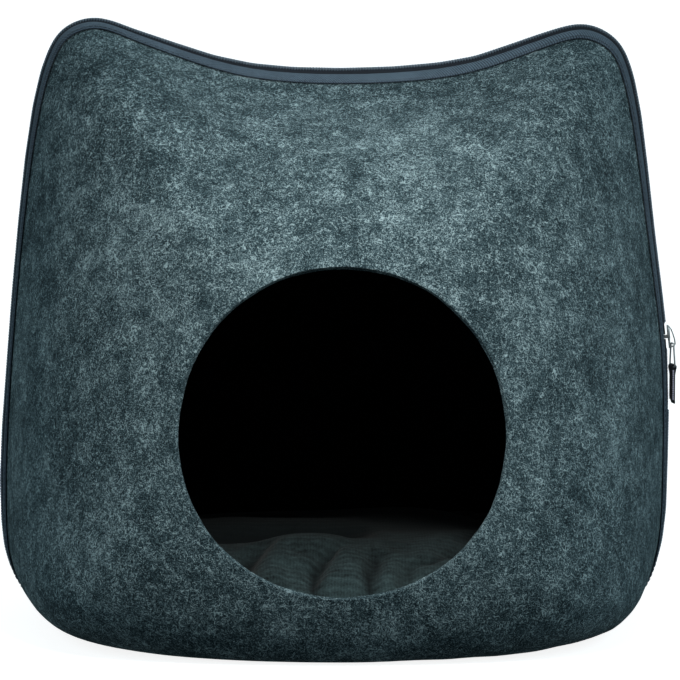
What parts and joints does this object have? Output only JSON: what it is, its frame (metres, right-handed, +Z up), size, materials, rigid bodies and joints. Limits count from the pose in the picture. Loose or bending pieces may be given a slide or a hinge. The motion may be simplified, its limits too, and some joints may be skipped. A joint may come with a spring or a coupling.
{
  "type": "felt cat cave with a cat-head outline, zip all round and a loose cushion",
  "caption": "Soft grey-green felt cat cave shaped like a cat's head, with a round entrance, bound zip seam all round and a loose dark cushion inside",
  "frame": {"origin": "bottom centre of the bounding box, on the ground under the middle of the zip", "axes": "+X to the right seen from the entrance side, +Y towards the back, +Z up; the entrance faces -Y"},
  "size_m": [0.3844, 0.3508, 0.3395],
  "materials": {
    "felt": "thick needled polyester felt, dark grey-green with pale fibre flecks",
    "binding": "woven binding tape, slate blue",
    "coil": "moulded nylon coil, dark grey",
    "metal": "bright nickel plate",
    "strap": "black woven strap with pale stitches",
    "cover": "dark felted cushion cover"
  },
  "bodies": {
    "root": {"front_shell": "felt", "back_shell": "felt", "front_band": "binding", "back_band": "binding", "zip_coil": "coil", "slider": "metal", "pull_ring": "metal", "pull_tab": "strap", "cushion": "cover"}
  },
  "joints": []
}
